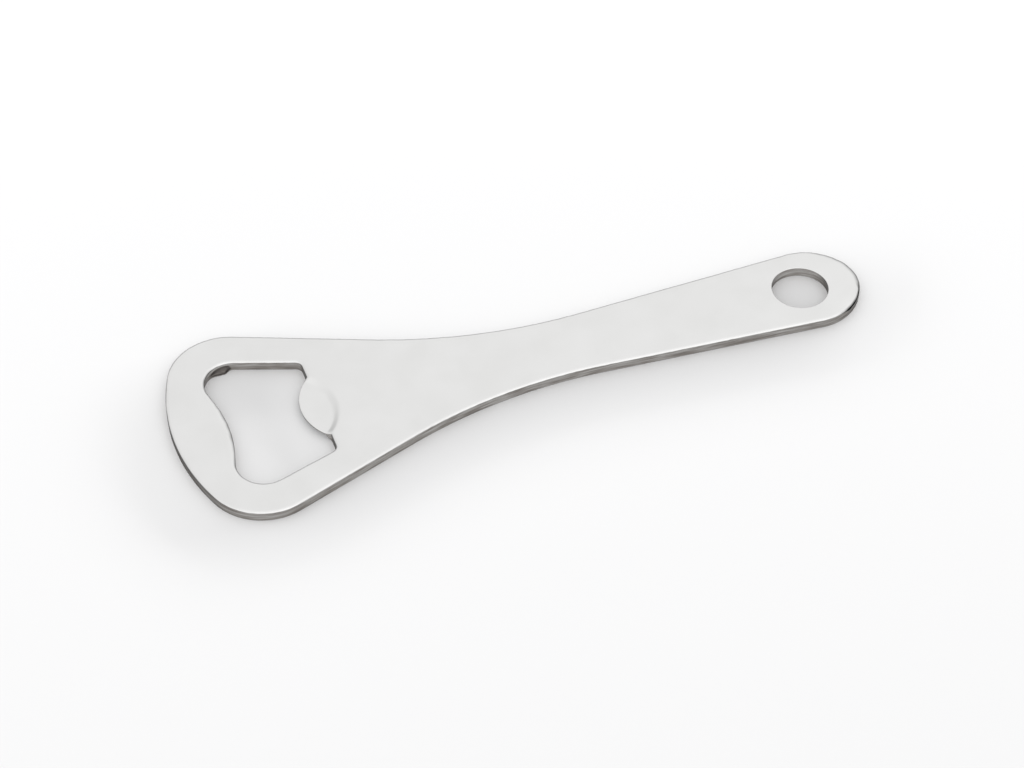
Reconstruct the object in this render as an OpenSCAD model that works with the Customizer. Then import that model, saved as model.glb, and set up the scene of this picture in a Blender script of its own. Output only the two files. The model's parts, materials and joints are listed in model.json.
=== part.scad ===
// Flat bottle opener, stamped in one piece from sheet steel.
//
// A flared head holds the cap opening, a tapered handle ends in a round hole for a key
// ring, and the lip that catches the cap is squeezed out of the edge of the opening, by a
// shallow pocket coined into each face.
//
// Frame: millimetres, +Z up out of the top face, +X from the head to the handle's end.
// The origin is the middle of the length and width, on the flat underside.

/* [Sheet] */
// Thickness of the sheet
sheet_t = 2; // [1.6:0.1:3]
// Length from the crown of the head to the tip of the handle
total_len = 125.2; // [120:0.2:150]

/* [Head] */
// Greatest width of the head
head_w = 42.4; // [41:0.2:46]
// Radius of the shallow curve across the head's crown
crown_r = 38.4; // [36:0.2:50]
// Radius of the head's two round corners
head_corner_r = 10.4; // [9:0.1:11.4]
// Angle between the head's straight flanks and the middle line, in degrees
flank_angle = 20.3; // [19:0.1:21]

/* [Handle] */
// Radius of the hollow waist where the flanks run into the handle
waist_r = 92; // [75:1:98]
// Angle between the handle's straight edges and the middle line, in degrees
taper_angle = 2.9; // [2.4:0.1:3.2]
// Greatest width of the handle's round end
tail_w = 17.5; // [17:0.1:18]
// Radius of the round end at its very tip
tail_tip_r = 7.8; // [6.8:0.1:8]
// Radius of the round end on each side of the tip
tail_side_r = 9.7; // [9.5:0.1:10]

/* [Key ring hole] */
// Diameter of the key ring hole
ring_hole_d = 10; // [5:0.1:11]
// Distance from the handle's tip to the middle of the key ring hole
ring_hole_setback = 10.8; // [9:0.1:13]

/* [Cap opening] */
// Distance from the crown of the head to the bearing edge that rests on the cap
bearing_setback = 9.7; // [9:0.1:10.4]
// Distance from the bearing edge to the straight edge that carries the lip
opening_depth = 15.9; // [15.4:0.1:16.4]
// Width of the straight edge, measured between the side walls where they would meet it
opening_front_w = 21.5; // [21:0.1:22.5]
// Angle between each side wall of the opening and the middle line, in degrees
opening_side_angle = 18.2; // [17.4:0.1:19]
// Radius of the bearing edge, which bulges into the opening
bearing_r = 26; // [24:0.5:32]
// Half of the angle that the bearing edge's curve turns through, in degrees
bearing_angle = 14; // [12:0.5:15]
// Radius of the opening's two corners next to the crown
opening_back_r = 4.9; // [4.4:0.1:5.1]
// Radius of the opening's two corners next to the lip
opening_front_r = 1.3; // [0.6:0.1:2]

/* [Lip] */
// Width of the lip at its root
lip_w = 14.2; // [13:0.2:15.4]
// How far the lip stands out from the straight edge
lip_reach = 3.2; // [2.6:0.1:3.6]
// Thickness of the lip, which lies in the middle of the sheet's thickness
lip_t = 1; // [0.8:0.1:1.4]
// How far the rim of the coined pockets reaches behind the straight edge
pocket_reach = 3.3; // [2.8:0.1:3.8]
// How far the rim of the pockets runs past each end of the lip
pocket_margin = 0.15; // [0.1:0.05:0.3]
// Width of the pockets' sloping wall, in plan
pocket_slope = 1.2; // [0.8:0.1:1.4]

/* [Hidden] */

// Most that a flat on a curved edge may stand off the true curve
chord_error = 0.004;
// Distance by which each cut runs past the face it opens
overcut = 1;

crown_x = -total_len / 2;
tail_x = total_len / 2;
ring_hole_x = tail_x - ring_hole_setback;

// Crown and corners: the corner arcs lie inside the crown's arc and touch it
crown_center = [crown_x + crown_r, 0];
head_corner_y = head_w / 2 - head_corner_r;
crown_angle = asin(head_corner_y / (crown_r - head_corner_r));
head_corner_center = [
    crown_center.x - (crown_r - head_corner_r) * cos(crown_angle),
    head_corner_y
];

// Round end: the side arcs have their centres past the middle line, so they touch the tip's arc
tail_tip_center = [tail_x - tail_tip_r, 0];
tail_side_y = tail_w / 2 - tail_side_r;
tail_tip_angle = asin(tail_side_y / (tail_tip_r - tail_side_r));
tail_side_center = [
    tail_tip_center.x + (tail_tip_r - tail_side_r) * cos(tail_tip_angle),
    tail_side_y
];

// Waist: an arc that touches the handle's edge and the head's flank, either side of the
// point where those two straight edges would meet
handle_start = on_circle(tail_side_center, tail_side_r, 90 + taper_angle);
flank_end = on_circle(head_corner_center, head_corner_r, 90 - flank_angle);
waist_corner = crossing(handle_start, taper_angle, flank_end, -flank_angle);
waist_tangent = waist_r * tan((taper_angle + flank_angle) / 2);
waist_start = waist_corner + waist_tangent * [cos(taper_angle), sin(taper_angle)];
waist_center = waist_start + waist_r * [-sin(taper_angle), cos(taper_angle)];

// Cap opening
bearing_x = crown_x + bearing_setback;
front_x = bearing_x + opening_depth;
bearing_center = [bearing_x - bearing_r, 0];
side_in = [-sin(opening_side_angle), -cos(opening_side_angle)];
side_foot = [front_x, opening_front_w / 2];

// The back corner touches the side wall and the straight run off the bearing edge
bearing_end = on_circle(bearing_center, bearing_r, bearing_angle);
bearing_in = [cos(bearing_angle), sin(bearing_angle)];
back_corner_center = crossing(
    bearing_end + opening_back_r * bearing_in, 90 + bearing_angle,
    side_foot + opening_back_r * side_in, -opening_side_angle
);

// The front corner touches the side wall and the straight edge
front_corner_center = crossing(
    side_foot + opening_front_r * side_in, -opening_side_angle,
    [front_x - opening_front_r, 0], 90
);

// Lip and pockets: an arc on each side of the straight edge, the pockets' a little wider
lip_r = arc_radius(lip_w / 2, lip_reach);
lip_center = [front_x - lip_reach + lip_r, 0];
lip_half_angle = acos((lip_r - lip_reach) / lip_r);
pocket_r = arc_radius(lip_w / 2 + pocket_margin, pocket_reach);
pocket_center = [front_x + pocket_reach - pocket_r, 0];
pocket_depth = (sheet_t - lip_t) / 2;

// Radius of an arc, from half of its chord and the arc's height over the chord
function arc_radius(half_chord, height) = (half_chord ^ 2 + height ^ 2) / (2 * height);

// Point on a circle at an angle in degrees
function on_circle(center, r, angle) = center + r * [cos(angle), sin(angle)];

// Where the line through a at angle_a crosses the line through b at angle_b
function crossing(a, angle_a, b, angle_b) =
    let (
        gap = b - a,
        across = cos(angle_a) * sin(angle_b) - sin(angle_a) * cos(angle_b),
        along = (gap.x * sin(angle_b) - gap.y * cos(angle_b)) / across
    )
    a + along * [cos(angle_a), sin(angle_a)];

// Points along an arc, close enough together to keep within chord_error of it
function arc(center, r, from, to) =
    let (
        step = 2 * acos(1 - chord_error / r),
        count = max(2, ceil(abs(to - from) / step))
    )
    [for (i = [0:count]) on_circle(center, r, from + (to - from) * i / count)];

// The points on the other side of the middle line, in the opposite order. The first and
// the last point lie on the middle line, so they aren't repeated.
function mirrored(points) = [for (i = [len(points) - 2:-1:1]) [points[i].x, -points[i].y]];

// Half of the outer edge, from the handle's tip round to the crown. The corner's arc is in
// two parts, so that the head's widest point is one of its points.
outer_half = concat(
    arc(tail_tip_center, tail_tip_r, 0, tail_tip_angle),
    arc(tail_side_center, tail_side_r, tail_tip_angle, 90 + taper_angle),
    arc(waist_center, waist_r, taper_angle - 90, -flank_angle - 90),
    arc(head_corner_center, head_corner_r, 90 - flank_angle, 90),
    arc(head_corner_center, head_corner_r, 90, 180 - crown_angle),
    arc(crown_center, crown_r, 180 - crown_angle, 180)
);

// Half of the opening's edge, from the middle of the bearing edge round to the lip's tip
opening_half = concat(
    arc(bearing_center, bearing_r, 0, bearing_angle),
    arc(back_corner_center, opening_back_r, 180 + bearing_angle, 90 - opening_side_angle),
    arc(front_corner_center, opening_front_r, 90 - opening_side_angle, 0),
    arc(lip_center, lip_r, 180 - lip_half_angle, 180)
);

// Outer edge of the blank
module blank_profile() {
    polygon(concat(outer_half, mirrored(outer_half)));
}

// Edge of the cap opening, which goes round the lip
module opening_profile() {
    polygon(concat(opening_half, mirrored(opening_half)));
}

// Cap opening, right through the sheet
module cap_opening() {
    translate([0, 0, -overcut])
        linear_extrude(sheet_t + 2 * overcut)
            opening_profile();
}

// Round hole for a key ring, right through the sheet
module ring_hole() {
    translate([ring_hole_x, 0, -overcut])
        cylinder(h = sheet_t + 2 * overcut, d = ring_hole_d, $fn = 96);
}

// Coined pocket in the top face: a flat floor level with the lip, inside a sloping round wall
module top_pocket() {
    rise = pocket_depth + overcut;
    wall_run = pocket_slope * rise / pocket_depth;
    floor_r = pocket_r - pocket_slope;
    translate([pocket_center.x, 0, sheet_t - pocket_depth])
        intersection() {
            cylinder(h = rise, r1 = floor_r, r2 = floor_r + wall_run, $fn = 96);
            translate([0, -2 * pocket_r, -overcut])
                cube([2 * pocket_r, 4 * pocket_r, rise + 2 * overcut]);
        }
}

// The same pocket in the underside, so that the opener works either way up
module bottom_pocket() {
    translate([0, 0, sheet_t])
        mirror([0, 0, 1])
            top_pocket();
}

// The whole opener
module opener_plate() {
    color("silver")
        difference() {
            linear_extrude(sheet_t) blank_profile();
            cap_opening();
            top_pocket();
            bottom_pocket();
            ring_hole();
        }
}

opener_plate();
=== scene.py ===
import json
import math

import bmesh
import bpy
import numpy
from mathutils import Matrix, Vector, noise
from mathutils.geometry import delaunay_2d_cdt


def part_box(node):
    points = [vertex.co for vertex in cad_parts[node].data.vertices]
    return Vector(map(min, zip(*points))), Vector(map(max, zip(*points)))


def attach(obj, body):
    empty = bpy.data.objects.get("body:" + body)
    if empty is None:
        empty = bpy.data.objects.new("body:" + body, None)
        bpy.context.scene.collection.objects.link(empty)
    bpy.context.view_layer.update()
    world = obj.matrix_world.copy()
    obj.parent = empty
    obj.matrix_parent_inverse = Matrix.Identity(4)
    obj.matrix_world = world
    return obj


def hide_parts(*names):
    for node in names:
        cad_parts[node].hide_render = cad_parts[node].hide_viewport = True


# Looks, light and camera for a flat bottle opener, one piece of plated sheet steel.
# The plate is drawn again here with rolled rims, sheared walls and coined pockets.
# Its edges follow the same driving sizes as the CAD plate. They are in millimetres, and
# new_piece() turns them into metres.

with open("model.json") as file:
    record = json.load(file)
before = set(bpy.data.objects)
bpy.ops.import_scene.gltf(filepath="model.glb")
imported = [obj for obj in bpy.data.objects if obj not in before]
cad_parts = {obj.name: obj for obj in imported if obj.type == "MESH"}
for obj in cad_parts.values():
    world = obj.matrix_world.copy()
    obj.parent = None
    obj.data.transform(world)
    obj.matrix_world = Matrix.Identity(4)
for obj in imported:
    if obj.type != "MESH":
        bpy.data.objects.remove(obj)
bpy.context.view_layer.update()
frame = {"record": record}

MM = 0.001
PLATE = "opener_plate"


# ---------------------------------------------------------------- sizes of the plate

plate_low, plate_high = (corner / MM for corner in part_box(PLATE))
ring_mount = next(m for m in frame["record"]["mounts"] if m["name"] == "key_ring_hole")
ring_hole_center = Vector(ring_mount["pos_m"][:2]) / MM
ring_hole_r = ring_mount["dims"]["r_mm"]

sheet_t = plate_high.z - plate_low.z
head_w = plate_high.y - plate_low.y
crown_x = plate_low.x
tail_x = plate_high.x

crown_r = 38.4
head_corner_r = 10.4
flank_angle = math.radians(20.3)
waist_r = 92.0
taper_angle = math.radians(2.9)
tail_w = 17.5
tail_tip_r = 7.8
tail_side_r = 9.7

bearing_setback = 9.7
opening_depth = 15.9
opening_front_w = 21.5
opening_side_angle = math.radians(18.2)
bearing_r = 26.0
bearing_angle = math.radians(14)
opening_back_r = 4.9
opening_front_r = 1.3

lip_w = 14.2
lip_reach = 3.2
lip_t = 1.0
lip_root_r = 0.15
pocket_reach = 3.3
pocket_margin = 0.15
pocket_slope = 1.2

# Rolled rims of the edges: how far each reaches in, and how far it drops
TOP_RIM = (0.6, 0.25)
BOTTOM_RIM = (0.15, 0.15)
# The bearing edge bulges into the opening, so the punch rolled it over further
BEARING_RIM = (1.3, 0.37)
# The lip is thin at its edge, which is bevelled underneath and crisp on top
LIP_TOP_RIM = (0.3, 0.1)
LIP_BOTTOM_RIM = (1.8, 0.76)
# The ring hole's edge is crisper. The handle's end is rolled over wider, and on the side
# with negative Y it drops steeply.
HOLE_RIM = (0.12, 0.08)
TAIL_RIM = (1.0, 0.36)
TAIL_STEEP_RIM = (0.4, 0.72)
# How far the rims' depth varies along an edge, as a share of it
RIM_RAGGED = 0.4

# Where one rim turns into another: on the bearing edge, by the distance from its top along X
# and Y; on the handle's end, by the distance from its tip, and from the middle line to the
# steep side; and on the lip, by the distance from the straight edge that carries it
BEARING_BLEND_X = (1.2, 3.0)
BEARING_BLEND_Y = (4.0, 10.0)
TAIL_BLEND = (4.0, 6.5)
TAIL_STEEP_BLEND = (1.5, 4.0)
LIP_BLEND = (0.1, 0.9)

# Depth of the shallow dents that the coining left in the lip's faces
LIP_DENTS = 0.012
# How far the torn lower part of a sheared wall leans in, how rough it is, and where it ends,
# as a share of the wall's height
WALL_LEAN = 0.05
WALL_ROUGHNESS = 0.012
WALL_TORN_BLEND = (0.35, 0.8)
# How far a burr stands out at the foot of the opening's wall, in one corner by the crown, how
# far it runs from its peak to each end, and how high it reaches, as a share of the wall
BURR_SIZE = 0.85
BURR_RUN_BACK = 3.2
BURR_RUN_FRONT = 1.9
BURR_RISE = 0.8

# Spacing of points along the edges, and of the points that fill the flat faces
EDGE_STEP = 0.4
FACE_STEP = 1.6
# Points closer than this are one point
SAME_PLACE = 1e-4
# Rows of faces across a rim, and down the sheared wall
RIM_ROWS = 7
WALL_ROWS = 10
# Rings of points across the pocket's sloping wall, and how far they run past it on each side
POCKET_RINGS = 16
POCKET_MARGIN = 0.3

bearing_x = crown_x + bearing_setback
front_x = bearing_x + opening_depth
burr_peak = Vector((bearing_x + 2.9, opening_front_w / 2 + 3.4))
quarter = math.pi / 2


def arc_radius(half_chord, height):
    """Radius of an arc, from half of its chord and its height over the chord."""
    return (half_chord ** 2 + height ** 2) / (2 * height)


lip_r = arc_radius(lip_w / 2, lip_reach)
pocket_r = arc_radius(lip_w / 2 + pocket_margin, pocket_reach)
pocket_floor_r = pocket_r - pocket_slope
pocket_center = Vector((front_x + pocket_reach - pocket_r, 0))
pocket_depth = (sheet_t - lip_t) / 2


# ---------------------------------------------------------------- edges in plan

def on_circle(center, radius, angle):
    return center + radius * Vector((math.cos(angle), math.sin(angle)))


def crossing(a, angle_a, b, angle_b):
    """Where the line through a at angle_a crosses the line through b at angle_b."""
    gap = b - a
    along = (gap.x * math.sin(angle_b) - gap.y * math.cos(angle_b)) / math.sin(angle_b - angle_a)
    return a + along * Vector((math.cos(angle_a), math.sin(angle_a)))


def arc(center, radius, start, end, side):
    """Points along an arc, each with the direction into the metal: side is 1 where the metal
    lies away from the centre, and -1 where it lies towards it."""
    count = max(2, math.ceil(abs(end - start) * radius / EDGE_STEP))
    angles = [start + (end - start) * i / count for i in range(count + 1)]
    return [(on_circle(center, radius, a), side * on_circle(Vector((0, 0)), 1, a)) for a in angles]


def closed_edge(half):
    """The whole edge from its half above the middle line: with the straight stretches filled
    in, and without repeated points."""
    points = [half[0]]
    for point, inward in half[1:]:
        last, last_inward = points[-1]
        gap = (point - last).length
        if gap < SAME_PLACE:
            continue
        count = math.ceil(gap / (1.5 * EDGE_STEP))
        for i in range(1, count):
            share = i / count
            points.append((last.lerp(point, share), last_inward.lerp(inward, share).normalized()))
        points.append((point, inward))
    flip = Vector((1, -1))
    return points + [(p * flip, n * flip) for p, n in reversed(points[1:-1])]


def outer_edge():
    crown_center = Vector((crown_x + crown_r, 0))
    corner_y = head_w / 2 - head_corner_r
    crown_angle = math.asin(corner_y / (crown_r - head_corner_r))
    corner = on_circle(crown_center, crown_r - head_corner_r, math.pi - crown_angle)

    tip_center = Vector((tail_x - tail_tip_r, 0))
    tip_angle = math.asin((tail_w / 2 - tail_side_r) / (tail_tip_r - tail_side_r))
    side_center = on_circle(tip_center, tail_tip_r - tail_side_r, tip_angle)

    handle_start = on_circle(side_center, tail_side_r, quarter + taper_angle)
    flank_end = on_circle(corner, head_corner_r, quarter - flank_angle)
    waist_corner = crossing(handle_start, taper_angle, flank_end, -flank_angle)
    tangent = waist_r * math.tan((taper_angle + flank_angle) / 2)
    waist_start = on_circle(waist_corner, tangent, taper_angle)
    waist_center = on_circle(waist_start, waist_r, taper_angle + quarter)
    return closed_edge(
        arc(tip_center, tail_tip_r, 0, tip_angle, -1)
        + arc(side_center, tail_side_r, tip_angle, quarter + taper_angle, -1)
        + arc(waist_center, waist_r, taper_angle - quarter, -flank_angle - quarter, 1)
        + arc(corner, head_corner_r, quarter - flank_angle, quarter, -1)
        + arc(corner, head_corner_r, quarter, math.pi - crown_angle, -1)
        + arc(crown_center, crown_r, math.pi - crown_angle, math.pi, -1)
    )


def opening_edge():
    bearing_center = Vector((bearing_x - bearing_r, 0))
    bearing_end = on_circle(bearing_center, bearing_r, bearing_angle)
    side_foot = Vector((front_x, opening_front_w / 2))
    side_in = -quarter - opening_side_angle
    back_corner = crossing(
        on_circle(bearing_end, opening_back_r, bearing_angle), quarter + bearing_angle,
        on_circle(side_foot, opening_back_r, side_in), -opening_side_angle,
    )
    front_corner = crossing(
        on_circle(side_foot, opening_front_r, side_in), -opening_side_angle,
        Vector((front_x - opening_front_r, 0)), quarter,
    )
    lip_center = Vector((front_x - lip_reach + lip_r, 0))
    root_x = front_x - lip_root_r
    root_y = math.sqrt((lip_r + lip_root_r) ** 2 - (root_x - lip_center.x) ** 2)
    root = Vector((root_x, root_y))
    root_angle = math.atan2(root_y, root_x - lip_center.x)
    return closed_edge(
        arc(bearing_center, bearing_r, 0, bearing_angle, -1)
        + arc(back_corner, opening_back_r, math.pi + bearing_angle, quarter - opening_side_angle, 1)
        + arc(front_corner, opening_front_r, quarter - opening_side_angle, 0, 1)
        + arc(root, lip_root_r, 0, root_angle - math.pi, 1)
        + arc(lip_center, lip_r, root_angle, math.pi, -1)
    )


def ring_hole_edge():
    return arc(ring_hole_center, ring_hole_r, 0, 2 * math.pi, 1)[:-1]


# ---------------------------------------------------------------- heights

def smooth_step(value, low, high):
    share = min(1, max(0, (value - low) / (high - low)))
    return share * share * (3 - 2 * share)


def dip(point):
    """How deep the coined pocket in each face is at a point of the plan."""
    if point.x < pocket_center.x:
        return 0
    away = (point - pocket_center).length
    straight = min(1, max(0, (pocket_r - away) / pocket_slope))
    smooth = 1 - smooth_step(away, pocket_floor_r, pocket_r)
    dents = LIP_DENTS * smooth * noise.noise(Vector((point.x, point.y, 0)) * 0.9)
    return pocket_depth * (0.6 * straight + 0.4 * smooth) + dents


def bottom_height(point):
    return dip(point)


def top_height(point):
    return sheet_t - dip(point)


def mixed_rim(rim, other, share):
    return tuple(a + (b - a) * share for a, b in zip(rim, other))


def lip_share(point):
    """1 along the lip's edge, and 0 along the rest of the edges."""
    if point.x < pocket_center.x or abs(point.y) > lip_w / 2:
        return 0
    return smooth_step(front_x - point.x, *LIP_BLEND)


def bottom_rim(point):
    """(reach, drop) of the rolled rim of the underside, at a point of an edge."""
    return mixed_rim(BOTTOM_RIM, LIP_BOTTOM_RIM, lip_share(point))


def top_rim(point):
    """(reach, drop) of the rolled rim of the top face, at a point of an edge."""
    near_x = 1 - smooth_step(abs(point.x - bearing_x), *BEARING_BLEND_X)
    near_y = 1 - smooth_step(abs(point.y), *BEARING_BLEND_Y)
    rim = mixed_rim(TOP_RIM, BEARING_RIM, near_x * near_y)
    tail_rim = mixed_rim(TAIL_RIM, TAIL_STEEP_RIM, smooth_step(-point.y, *TAIL_STEEP_BLEND))
    rim = mixed_rim(rim, tail_rim, 1 - smooth_step(tail_x - point.x, *TAIL_BLEND))
    rim = mixed_rim(rim, LIP_TOP_RIM, lip_share(point))
    if (point - ring_hole_center).length < ring_hole_r + SAME_PLACE:
        rim = HOLE_RIM
    reach, drop = rim
    ragged = noise.noise(Vector((point.x, point.y, 5)) * 1.1)
    return reach, drop * (1 + RIM_RAGGED * ragged * (1 - lip_share(point)))


def burr(point, share):
    """How far the burr stands out of the wall, share of the way up."""
    if abs(point.y - burr_peak.y) > BURR_RUN_BACK:
        return 0
    rise = smooth_step(point.x, burr_peak.x - BURR_RUN_BACK, burr_peak.x)
    fall = smooth_step(point.x, burr_peak.x, burr_peak.x + BURR_RUN_FRONT)
    ragged = 1 + 0.2 * noise.noise(Vector((point.x * 2.5, 0, share)))
    return BURR_SIZE * (rise - fall) * ragged * (1 - smooth_step(share, 0, BURR_RISE))


def wall_relief(point, share):
    """How far a sheared wall lies inside its edge, share of the way up. It leans in below
    the smooth band that the punch cut, and the torn metal there has lengthwise ridges."""
    torn = (1 - smooth_step(share, *WALL_TORN_BLEND)) * (1 - lip_share(point))
    ridge = noise.noise(Vector((point.x * 0.35, point.y * 0.35, share * 7)))
    return torn * (WALL_LEAN + WALL_ROUGHNESS * ridge) - burr(point, share)


# ---------------------------------------------------------------- the plate's mesh

class MeshBuilder:
    """Collects points in millimetres, faces by the index of their points, and which faces
    take the second material."""

    def __init__(self):
        self.points = []
        self.faces = []
        self.wall_faces = set()

    def add(self, point):
        self.points.append(point)
        return len(self.points) - 1

    def row(self, points):
        return [self.add(p) for p in points]

    def strip(self, low_row, high_row, is_wall):
        """Quads between two closed rows of the same length."""
        count = len(low_row)
        for i in range(count):
            j = (i + 1) % count
            if is_wall:
                self.wall_faces.add(len(self.faces))
            self.faces.append((low_row[i], low_row[j], high_row[j], high_row[i]))


def rim_row(edge, turn, rim, height, side, relief):
    """Points round an edge, turn of the way from the flat face to the wall. side is 1 on the
    top face and -1 on the underside."""
    row = []
    for point, inward in edge:
        reach, drop = rim(point)
        place = point + inward * (relief(point) + reach * (1 - math.sin(turn)))
        row.append((*place, height(place) - side * drop * (1 - math.cos(turn))))
    return row


def wall_row(edge, share):
    """Points round an edge, share of the way up its wall."""
    row = []
    for point, inward in edge:
        low = bottom_height(point) + bottom_rim(point)[1]
        high = top_height(point) - top_rim(point)[1]
        place = point + inward * wall_relief(point, share)
        row.append((*place, low + (high - low) * share))
    return row


def edge_rows(builder, edge):
    """Builds the rims and the wall of one edge, and returns its innermost rows of points:
    on the underside and on the top face."""
    def at_foot(point):
        return wall_relief(point, 0)

    def at_top(point):
        return wall_relief(point, 1)

    turns = [quarter * i / RIM_ROWS for i in range(RIM_ROWS + 1)]
    rows = [rim_row(edge, turn, bottom_rim, bottom_height, -1, at_foot) for turn in turns]
    rows += [wall_row(edge, i / WALL_ROWS) for i in range(1, WALL_ROWS)]
    rows += [rim_row(edge, turn, top_rim, top_height, 1, at_top) for turn in reversed(turns)]
    made = [builder.row(row) for row in rows]
    for i, (low_row, high_row) in enumerate(zip(made, made[1:])):
        is_wall = RIM_ROWS <= i < RIM_ROWS + WALL_ROWS
        builder.strip(low_row, high_row, is_wall)
    return made[0], made[-1]


def inside(polygon, points):
    """For each point, whether it lies in the polygon: both are arrays of plan points."""
    x, y = points[:, 0], points[:, 1]
    result = numpy.zeros(len(points), dtype=bool)
    for (ax, ay), (bx, by) in zip(polygon, numpy.roll(polygon, -1, axis=0)):
        crosses = (ay > y) != (by > y)
        if ay != by:
            result ^= crosses & (x < (bx - ax) * (y - ay) / (by - ay) + ax)
    return result


def in_metal(outlines, points):
    """Whether each point is inside the first outline and outside the others."""
    outer, *holes = outlines
    result = inside(outer, points)
    for hole in holes:
        result &= ~inside(hole, points)
    return result


def clear_of(outlines, points, distance):
    """The points that lie in the metal, and further than distance from every outline point."""
    points = points[in_metal(outlines, points)]
    for outline in outlines:
        gaps = numpy.linalg.norm(points[:, None, :] - outline[None, :, :], axis=2).min(axis=1)
        points = points[gaps > distance]
    return points


def grid_points():
    """An even grid over the whole plate."""
    columns = numpy.arange(crown_x, tail_x, FACE_STEP)
    lines = numpy.arange(-head_w / 2, head_w / 2, FACE_STEP)
    x, y = numpy.meshgrid(columns, lines)
    x = x + (numpy.arange(len(lines)) % 2 * FACE_STEP / 2)[:, None]
    return numpy.column_stack([x.ravel(), y.ravel()])


def pocket_points():
    """Rings of points across the pocket's floor and its sloping wall."""
    low = pocket_floor_r - POCKET_MARGIN
    high = pocket_r + POCKET_MARGIN
    slope_radii = numpy.linspace(low, high, POCKET_RINGS)
    floor_radii = numpy.arange(1.0, low - EDGE_STEP / 2, 2 * EDGE_STEP)
    points = []
    for radius in [*floor_radii, *slope_radii]:
        count = math.ceil(math.pi * radius / EDGE_STEP)
        angles = (numpy.arange(count + 1) / count - 0.5) * math.pi
        points.append(numpy.column_stack([radius * numpy.cos(angles), radius * numpy.sin(angles)]))
    return numpy.concatenate(points) + numpy.array(pocket_center)


def fill_face(builder, rows, extra, height):
    """Fills a face between its edge rows, through some extra plan points, at the height that
    a function gives."""
    outlines = [numpy.array([builder.points[i][:2] for i in row]) for row in rows]
    plan = []
    borders = []
    for row in rows:
        first = len(plan)
        plan += [Vector(builder.points[i][:2]) for i in row]
        borders += [(first + i, first + (i + 1) % len(row)) for i in range(len(row))]
    index = [i for row in rows for i in row]
    for point in extra:
        plan.append(Vector(point))
        index.append(builder.add((*point, height(plan[-1]))))
    coords, _, faces, origins, _, _ = delaunay_2d_cdt(plan, borders, [], 0, 1e-7)
    made = [index[source[0]] for source in origins]
    middles = numpy.array([sum((coords[i] for i in face), Vector((0, 0))) / 3 for face in faces])
    for face, kept in zip(faces, in_metal(outlines, middles)):
        if kept:
            builder.faces.append(tuple(made[i] for i in face))


def new_piece(name, builder, *materials):
    mesh = bpy.data.meshes.new(name)
    mesh.from_pydata([Vector(p) * MM for p in builder.points], [], builder.faces)
    for material in materials:
        mesh.materials.append(material)
    for i in builder.wall_faces:
        mesh.polygons[i].material_index = 1
    shape = bmesh.new()
    shape.from_mesh(mesh)
    bmesh.ops.recalc_face_normals(shape, faces=shape.faces)
    shape.to_mesh(mesh)
    shape.free()
    piece = bpy.data.objects.new(name, mesh)
    bpy.context.scene.collection.objects.link(piece)
    mesh.shade_smooth()
    return piece


def plate_mesh():
    builder = MeshBuilder()
    edges = [edge_rows(builder, e) for e in (outer_edge(), opening_edge(), ring_hole_edge())]
    for rows, height in zip(zip(*edges), (bottom_height, top_height)):
        outlines = [numpy.array([builder.points[i][:2] for i in row]) for row in rows]
        grid = clear_of(outlines, grid_points(), FACE_STEP * 0.6)
        away = numpy.linalg.norm(grid - numpy.array(pocket_center), axis=1)
        pocket = clear_of(outlines, pocket_points(), EDGE_STEP * 0.5)
        extra = numpy.concatenate([grid[away > pocket_r + 2 * POCKET_MARGIN], pocket])
        fill_face(builder, rows, extra, height)
    return builder


# ---------------------------------------------------------------- materials

def new_material(name):
    material = bpy.data.materials.new(name)
    material.use_nodes = True
    return material, material.node_tree.nodes, material.node_tree.links


def add_noise(nodes, links, vector, scale, detail):
    noise_node = nodes.new("ShaderNodeTexNoise")
    noise_node.inputs["Scale"].default_value = scale
    noise_node.inputs["Detail"].default_value = detail
    links.new(vector, noise_node.inputs["Vector"])
    return noise_node.outputs["Fac"]


def add_range(nodes, links, value, old, new):
    """value, which goes from old[0] to old[1], made to go from new[0] to new[1]."""
    node = nodes.new("ShaderNodeMapRange")
    node.inputs["From Min"].default_value = old[0]
    node.inputs["From Max"].default_value = old[1]
    node.inputs["To Min"].default_value = new[0]
    node.inputs["To Max"].default_value = new[1]
    links.new(value, node.inputs["Value"])
    return node.outputs["Result"]


def add_math(nodes, links, operation, *values):
    """All values added or multiplied together."""
    result = values[0]
    for value in values[1:]:
        node = nodes.new("ShaderNodeMath")
        node.operation = operation
        links.new(result, node.inputs[0])
        links.new(value, node.inputs[1])
        result = node.outputs["Value"]
    return result


def add_ramp(nodes, links, value, *stops):
    """Colours by value: each stop is a place and a colour."""
    ramp = nodes.new("ShaderNodeValToRGB")
    elements = ramp.color_ramp.elements
    first, *middle, last = stops
    for element, (place, color) in zip(elements, (first, last)):
        element.position = place
        element.color = (*color, 1)
    for place, color in middle:
        elements.new(place).color = (*color, 1)
    links.new(value, ramp.inputs["Fac"])
    return ramp.outputs["Color"]


def add_bump(nodes, links, height, strength, distance, shader):
    bump = nodes.new("ShaderNodeBump")
    bump.inputs["Strength"].default_value = strength
    bump.inputs["Distance"].default_value = distance
    links.new(height, bump.inputs["Height"])
    links.new(bump.outputs["Normal"], shader.inputs["Normal"])


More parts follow.
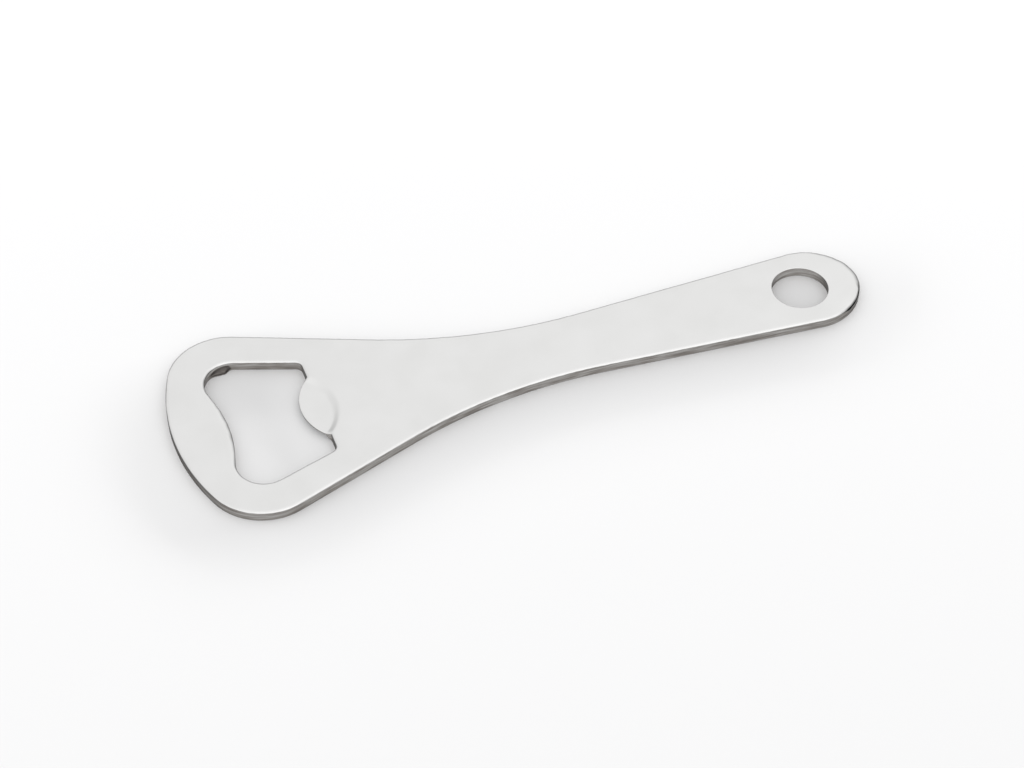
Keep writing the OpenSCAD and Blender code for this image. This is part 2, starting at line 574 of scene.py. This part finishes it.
def plated_steel():
    """Bright plating over tumbled steel: nearly even, with a faint haze and fine grain."""
    material, nodes, links = new_material("plated_steel")
    shader = nodes["Principled BSDF"]
    shader.inputs["Metallic"].default_value = 1.0
    place = nodes.new("ShaderNodeTexCoord").outputs["Object"]

    tint = add_noise(nodes, links, place, 150, 3)
    color = add_ramp(
        nodes, links, tint,
        (0.3, (0.772, 0.771, 0.766)),
        (0.7, (0.804, 0.803, 0.800)),
    )
    links.new(color, shader.inputs["Base Color"])

    haze = add_noise(nodes, links, place, 420, 4)
    roughness = add_range(nodes, links, haze, (0.3, 0.7), (0.1, 0.15))
    links.new(roughness, shader.inputs["Roughness"])

    grain = add_noise(nodes, links, place, 2600, 3)
    add_bump(nodes, links, grain, 0.12, 0.00001, shader)
    return material


def sheared_steel():
    """The plated wall where the punch cut the sheet: a smooth band at the top, and below it
    duller torn metal with lengthwise streaks. Painted shade makes it darkest at its foot, and
    where a burr at the foot turns it to face up."""
    material, nodes, links = new_material("sheared_steel")
    shader = nodes["Principled BSDF"]
    shader.inputs["Metallic"].default_value = 1.0
    place = nodes.new("ShaderNodeTexCoord").outputs["Object"]
    split = nodes.new("ShaderNodeSeparateXYZ")
    links.new(place, split.inputs["Vector"])
    height = split.outputs["Z"]

    stretch = nodes.new("ShaderNodeMapping")
    stretch.inputs["Scale"].default_value = (1, 1, 12)
    links.new(place, stretch.inputs["Vector"])
    streaks = add_noise(nodes, links, stretch.outputs["Vector"], 210, 5)
    # Painted shade: the colour darkens towards the wall's foot, where the floor's contact shade
    # falls
    foot_painted_shade = add_range(nodes, links, height, (0, 1.1 * MM), (-0.19, 0))
    # Painted shade: the colour darkens where the wall turns to face up, over the burr at its foot
    facing = nodes.new("ShaderNodeSeparateXYZ")
    links.new(nodes.new("ShaderNodeNewGeometry").outputs["Normal"], facing.inputs["Vector"])
    burr_painted_shade = add_range(nodes, links, facing.outputs["Z"], (0.04, 0.2), (0, -0.4))
    # The ramp's darkest stop is reached only where the painted shade is added to the streaks
    color = add_ramp(
        nodes, links, add_math(nodes, links, "ADD", streaks, foot_painted_shade, burr_painted_shade),
        (0, (0.12, 0.11, 0.104)),
        (0.34, (0.42, 0.385, 0.36)),
        (0.64, (0.80, 0.785, 0.765)),
    )
    links.new(color, shader.inputs["Base Color"])

    roughness = add_range(nodes, links, height, (1.25 * MM, 1.45 * MM), (0.36, 0.12))
    links.new(roughness, shader.inputs["Roughness"])
    add_bump(nodes, links, streaks, 0.6, 0.00003, shader)
    return material


def studio_paper():
    material, nodes, links = new_material("studio_paper")
    shader = nodes["Principled BSDF"]
    shader.inputs["Base Color"].default_value = (0.735, 0.735, 0.739, 1)
    shader.inputs["Roughness"].default_value = 0.95
    shader.inputs["Specular IOR Level"].default_value = 0.1
    return material


# ---------------------------------------------------------------- studio

# Where the camera stands: its bearing and height round the plate, the point it looks at on
# the top face, its distance, and how far it leans
CAMERA_AZIMUTH = math.radians(-20.07)
CAMERA_ELEVATION = math.radians(45.94)
CAMERA_LEAN = math.radians(0.96)
CAMERA_DISTANCE = 580.8
CAMERA_TARGET = Vector((-4.24, -5.97, sheet_t))
CAMERA_LENS = 119.07


def add_camera():
    cos_height = math.cos(CAMERA_ELEVATION)
    back = Vector((
        math.sin(CAMERA_AZIMUTH) * cos_height,
        -math.cos(CAMERA_AZIMUTH) * cos_height,
        math.sin(CAMERA_ELEVATION),
    ))
    right = Vector((0, 0, 1)).cross(back).normalized()
    turn = Matrix((right, back.cross(right), back)).transposed()
    lean = Matrix.Rotation(CAMERA_LEAN, 3, "Z")
    data = bpy.data.cameras.new("camera")
    data.lens = CAMERA_LENS
    data.sensor_width = 36
    data.clip_start = 0.01
    camera = bpy.data.objects.new("camera", data)
    camera.matrix_world = (
        Matrix.Translation((CAMERA_TARGET + back * CAMERA_DISTANCE) * MM) @ (turn @ lean).to_4x4()
    )
    bpy.context.scene.collection.objects.link(camera)
    bpy.context.scene.camera = camera


def add_floor():
    """A pale sweep. The plate doesn't mirror it, and mirrors the lower half of the studio."""
    half = 3.0
    sheet = MeshBuilder()
    corners = [(-half, -half), (half, -half), (half, half), (-half, half)]
    sheet.faces.append(sheet.row([(x / MM, y / MM, -0.01) for x, y in corners]))
    floor = new_piece("floor", sheet, studio_paper())
    floor.visible_glossy = False


def add_low_lights():
    """Three broad low lights, behind the plate and at its sides. They draw its soft wide shadow
    on the floor, and aren't seen in the metal."""
    distance = 1.0
    height = 0.14
    for name, bearing, power in (
        ("right", 28, 16),
        ("back", 90, 8),
        ("left", 160, 9.5),
    ):
        data = bpy.data.lights.new(f"low_{name}", "AREA")
        data.shape = "RECTANGLE"
        data.size = 1.4
        data.size_y = 0.12
        data.energy = power
        light = bpy.data.objects.new(f"low_{name}", data)
        place = distance * on_circle(Vector((0, 0)), 1, math.radians(bearing))
        light.location = (*place, height)
        light.rotation_mode = "QUATERNION"
        light.rotation_quaternion = (-light.location).to_track_quat("-Z", "Y")
        light.visible_glossy = False
        light.visible_camera = False
        bpy.context.scene.collection.objects.link(light)


def add_world():
    """The studio as the metal mirrors it. Above: a white ceiling, brightest overhead and in
    front, that ends on the right and dims down at the walls. Below the horizon: grey in
    front, darker behind, and black on the right."""
    world = bpy.data.worlds.new("studio")
    bpy.context.scene.world = world
    world.use_nodes = True
    nodes, links = world.node_tree.nodes, world.node_tree.links
    way = nodes.new("ShaderNodeTexCoord").outputs["Generated"]
    split = nodes.new("ShaderNodeSeparateXYZ")
    links.new(way, split.inputs["Vector"])
    right, behind, up = (split.outputs[axis] for axis in "XYZ")

    above = add_math(
        nodes, links, "MULTIPLY",
        add_range(nodes, links, right, (-1, 0.4), (0.80, 1.01)),
        add_range(nodes, links, right, (0.4, 0.9), (1, 0.4)),
        add_range(nodes, links, up, (0, 0.55), (0.55, 1)),
        add_range(nodes, links, behind, (-0.2, 0.65), (1.28, 1)),
    )
    below = add_math(
        nodes, links, "MULTIPLY",
        add_range(nodes, links, behind, (0, 0.6), (0.45, 0.15)),
        add_range(nodes, links, right, (0.74, 0.79), (1, 0.01)),
    )
    pick = nodes.new("ShaderNodeMix")
    links.new(add_range(nodes, links, up, (-0.08, 0), (0, 1)), pick.inputs["Factor"])
    links.new(below, pick.inputs["A"])
    links.new(above, pick.inputs["B"])
    links.new(pick.outputs["Result"], nodes["Background"].inputs["Strength"])
    nodes["Background"].inputs["Color"].default_value = (1, 0.999, 0.996, 1)


plate = new_piece("opener", plate_mesh(), plated_steel(), sheared_steel())
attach(plate, "root")
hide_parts(PLATE)

add_floor()
add_world()
add_low_lights()
add_camera()

bpy.context.scene.view_settings.view_transform = "Standard"
